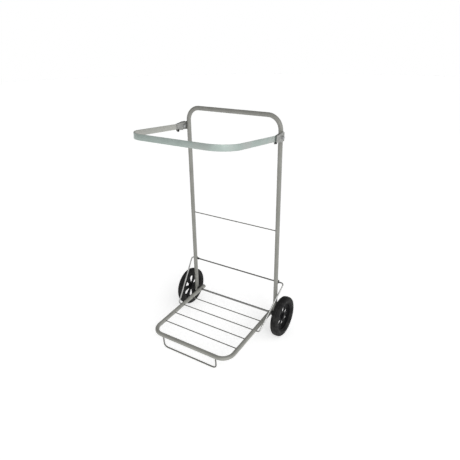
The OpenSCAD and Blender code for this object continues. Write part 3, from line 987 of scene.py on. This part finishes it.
def plate(skin, outline, start, end):
    """A flat plate across X from an outline of (y, z), with eased edges."""
    ease = 0.35 * MM
    count = len(outline)
    area = sum(outline[k - 1].x * outline[k].y - outline[k].x * outline[k - 1].y for k in range(count))
    inset = []
    for k in range(count):
        way = (outline[(k + 1) % count] - outline[k - 1]).normalized()
        out = Vector((way.y, -way.x)) * math.copysign(1, area)
        inset.append(outline[k] - out * ease)
    step = math.copysign(ease, end - start)
    rows = []
    for x, line in ((start, inset), (start + step, outline), (end - step, outline), (end, inset)):
        rows.append([Vector((x, p.x, p.y)) for p in line])
    return skin.rows(rows)


def lower_edge(from_leg):
    """How high the bracket's lower edge is, that far in front of the leg."""
    return bracket_low + bracket_taper_low * (from_leg - bracket_bend) / (bracket_front - bracket_bend)


def wrap_rows(side):
    """The quarter turn of sheet round the back of the leg, as rows of its section."""
    low, high, half, ease = bracket_low, bracket_high, sheet_t / 2, 0.35 * MM
    section = ((-half, low + ease), (-half + ease, low), (half - ease, low), (half, low + ease),
               (half, high - ease), (half - ease, high), (-half + ease, high), (-half, high - ease))
    r = tube_r + wrap_gap + half
    rows = []
    for k in range(19):
        a = math.pi / 2 * k / 18
        out = Vector((side * math.cos(a), math.sin(a), 0))
        centre = Vector((side * leg_x, axle.y, 0)) + out * r
        rows.append([centre + out * t + Z_AXIS * z for t, z in section])
    return rows


def make_bracket(name, side):
    """Sheet steel bent round the back of the leg, with a cheek on each side of the hoop's arm."""
    cheek = leg_x + tube_r + wrap_gap
    outer = from_middle(f"bracket_{name}")[1]
    front, bend = axle.y - bracket_front, axle.y - bracket_bend
    nose = [(bend, bracket_high), (front, bracket_high - bracket_taper_high),
            (front, lower_edge(bracket_front)), (bend, bracket_low)]

    skin = Skin()
    inner_cheek = [Vector((axle.y, bracket_high)), *rounded_outline(nose, 2.5 * MM),
                   Vector((axle.y, bracket_low))]
    plate(skin, inner_cheek, side * cheek, side * (cheek + sheet_t))
    lug_r, sunk = 7 * MM, 0.02 * MM
    lug = [Vector((peg.y + lug_r * math.cos(a), peg.z + lug_r * math.sin(a)))
           for a in (2 * math.pi * k / 40 for k in range(40))]
    plate(skin, lug, side * (cheek + sunk), side * (cheek + sheet_t - sunk))

    back = axle.y - 6 * MM
    outer_cheek = rounded_outline([(back, bracket_high), *nose, (back, bracket_low)], 3 * MM)
    plate(skin, outer_cheek, side * (outer - sheet_t), side * outer)
    web = [(axle.y - way, lower_edge(way) + up)
           for way, up in ((web_front, 0), (web_back, 0), (web_back, sheet_t), (web_front, sheet_t))]
    plate(skin, rounded_outline(web, 0.6 * MM), side * (cheek + 1 * MM), side * (outer - 0.5 * MM))
    skin.rows(wrap_rows(side))
    skin.piece(f"clip_bracket_{name}", "frame", GALVANISED, "zinc", [f"bracket_{name}"])

    start = Vector((side * (leg_x - 0.4 * MM), axle.y + tube_r + 0.3 * MM, bracket_low))
    rise = Z_AXIS * (bracket_high - bracket_low)
    weld = weld_run(start + rise * 0.08, start + rise * 0.92, 30, (side * 2, 5.7), 600, 0.04, 0.35, 0.3)
    weld.piece(f"bracket_weld_{name}", "frame", WELD, "frame_paint")


def make_pivot(name, side):
    """The bolt with its hexagonal head inside, the two washers, and a lock nut outside."""
    along = X_AXIS * side
    flats = 13 * MM
    head, tip = from_middle(f"pivot_bolt_{name}")
    head_end = head + 5.5 * MM
    skin = Skin()
    hexagon(skin, flats, -head_end, -head, pivot, -along)
    skin.piece(f"pivot_head_{name}", "frame", ZINC, "zinc", [f"pivot_bolt_{name}"])

    shank, pitch = 4 * MM, 1.0 * MM
    t = tip - 9 * MM
    profile = [(0, head_end - 1 * MM), (shank, head_end - 1 * MM), (shank, t)]
    while t + pitch < tip - 0.6 * MM:
        profile.extend([(shank, t + 0.12 * pitch), (shank - 0.45 * MM, t + 0.5 * pitch),
                        (shank, t + 0.88 * pitch)])
        t += pitch
    profile.extend([(shank - 0.2 * MM, t), (shank - 0.9 * MM, tip), (0, tip)])
    lathe(Skin(), profile, pivot, along, 40).piece(f"pivot_shank_{name}", "frame", ZINC, "zinc")

    low, high = from_middle(f"pivot_nut_{name}")
    skin = Skin()
    hexagon(skin, flats, low, low + 5 * MM, pivot, along, chamfer_low=True)
    collar = [(3.9 * MM, low + 4.8 * MM), (5.9 * MM, low + 4.8 * MM), (5.75 * MM, high - 0.5 * MM),
              (5.2 * MM, high), (4.2 * MM, high - 0.3 * MM), (3.9 * MM, high - 0.6 * MM)]
    lathe(skin, collar, pivot, along, 48, ring=True)
    skin.piece(f"lock_nut_{name}", "frame", ZINC, "zinc", [f"pivot_nut_{name}"])

    near, far = from_middle(f"pivot_washers_{name}")
    r_out = extent(f"pivot_washers_{name}").z / 2
    thick = 1.2 * MM
    skin = Skin()
    for start in (near, far - thick):
        profile = washer_profile(shank + 0.02 * MM, r_out, start, start + thick, 0.3 * MM)
        lathe(skin, profile, pivot, along, 56, ring=True)
    skin.piece(f"bolt_washers_{name}", "frame", NYLON, "nylon", [f"pivot_washers_{name}"])


def make_peg(name, side):
    """A rubber buffer pushed through the cheek: a flat head inside and a domed post outside."""
    near, far = from_middle(f"stop_peg_{name}")
    cheek_in = near + 3 * MM
    cheek_out = cheek_in + sheet_t
    flange, neck, post = 6 * MM, 3 * MM, 4.5 * MM
    profile = [(0, near), (4.4 * MM, near), (5.6 * MM, near + 0.6 * MM), (flange, near + 1.6 * MM),
               (flange, cheek_in), (neck, cheek_in), (neck, cheek_out), (post, cheek_out),
               (post, far - 1.6 * MM), (post - 0.5 * MM, far - 0.6 * MM), (post - 1.5 * MM, far), (0, far)]
    skin = lathe(Skin(), profile, peg, X_AXIS * side, 40)
    skin.piece(f"rubber_stop_{name}", "frame", PEG, "peg_rubber", [f"stop_peg_{name}"])


# ---- Build -----------------------------------------------------------------

make_back_frame()
make_axle()
make_tray()
make_foot()
make_stay()
make_hoop()
for name, side in SIDES.items():
    make_leg_plug(name, side)
    make_hook(name, side)
    make_push_washer(name, side)
    make_ring(f"axle_spacer_{name}", f"wheel_spacer_{name}", "frame", axle_r + 0.05 * MM)
    make_ring(f"wheel_bush_{name}", f"hub_bush_{name}", f"wheel_{name}", axle_r + 0.05 * MM)
    make_ring(f"bar_sleeve_{name}", f"stay_sleeve_{name}", "stay_sleeves", wire_r + 0.05 * MM)
    make_tyre(name, side)
    make_hub(name, side)
    make_tray_cap(name, side)
    make_tray_bush(name, side)
    make_bracket(name, side)
    make_pivot(name, side)
    make_peg(name, side)


# ---- Studio ----------------------------------------------------------------

FLOOR_GLOW = 0.51
WORLD_BASE = 0.18
# Soft patches of light round the object: direction, where a patch starts and is full, and strength
WORLD_PATCHES = (((1.0, -0.5, 0.15), 0.2, 0.95, 1.1), ((-0.3, -1.0, 0.2), 0.3, 0.95, 0.35),
                 ((0.2, 1.0, 0.1), 0.3, 0.9, 0.4))


def make_camera():
    """The camera looks down at the trolley from the front right."""
    azimuth, elevation, roll = map(math.radians, (32.797, 24.038, -0.797))
    distance = 2.2207
    forward = Vector((-math.sin(azimuth) * math.cos(elevation), math.cos(azimuth) * math.cos(elevation),
                      -math.sin(elevation)))
    right = Vector((math.cos(azimuth), math.sin(azimuth), 0))
    up = right.cross(forward)
    target = Vector((0, axle.y, 0.5016)) - right * 0.01584
    right, up = right * math.cos(roll) + up * math.sin(roll), up * math.cos(roll) - right * math.sin(roll)
    data = bpy.data.cameras.new("camera")
    data.sensor_width = 36
    data.lens = 35.544
    camera = bpy.data.objects.new("camera", data)
    turn = Matrix((right, up, -forward)).transposed().to_4x4()
    camera.matrix_world = Matrix.Translation(target - forward * distance) @ turn
    bpy.context.scene.collection.objects.link(camera)
    bpy.context.scene.camera = camera


def make_key_light():
    """A large soft lamp, high at the front right."""
    place, target = Vector((4.6, -3.6, 3.2)), Vector((0, 0, 0.5))
    data = bpy.data.lights.new("key", "AREA")
    data.size = 2.4
    data.energy = 62
    light = bpy.data.objects.new("key", data)
    light.location = place
    light.rotation_mode = "QUATERNION"
    light.rotation_quaternion = (target - place).to_track_quat("-Z", "Y")
    bpy.context.scene.collection.objects.link(light)


def make_floor():
    """A pale floor that glows a little, so that what stands on it is also lit from below."""
    s = Shader("studio_floor", 0.9, Specular_IOR_Level=0.0)
    s.principled.inputs["Base Color"].default_value = (0.9, 0.9, 0.9, 1)
    s.principled.inputs["Emission Color"].default_value = (1, 1, 1, 1)
    s.principled.inputs["Emission Strength"].default_value = FLOOR_GLOW
    count = 96
    mesh = bpy.data.meshes.new("floor")
    mesh.from_pydata(circle_row(Vector((0, 0, 0)), X_AXIS, Y_AXIS, 14, count), [], [tuple(range(count))])
    mesh.materials.append(s.material)
    floor = bpy.data.objects.new("floor", mesh)
    bpy.context.scene.collection.objects.link(floor)


def make_world():
    """White to the camera. To the object, dim with a few soft patches of light."""
    world = bpy.data.worlds.new("studio")
    bpy.context.scene.world = world
    world.use_nodes = True
    background = world.node_tree.nodes["Background"]
    background.inputs["Color"].default_value = (1, 1, 1, 1)
    n = Nodes(world.node_tree)
    direction = n.add("ShaderNodeTexCoord").outputs["Generated"]
    light = WORLD_BASE
    for way, low, high, gain in WORLD_PATCHES:
        dot = n.add("ShaderNodeVectorMath", operation="DOT_PRODUCT")
        dot.inputs[1].default_value = Vector(way).normalized()
        n.link(direction, dot.inputs[0])
        light = n.both(light, n.span(dot.outputs["Value"], low, high, 0, gain, "SMOOTHSTEP"), "ADD")
    seen = n.add("ShaderNodeLightPath").outputs["Is Camera Ray"]
    hidden = n.both(n.both(1, seen, "SUBTRACT"), light)
    n.link(n.both(seen, hidden, "ADD"), background.inputs["Strength"])


make_camera()
make_floor()
make_world()
make_key_light()
bpy.context.scene.view_settings.view_transform = "Standard"
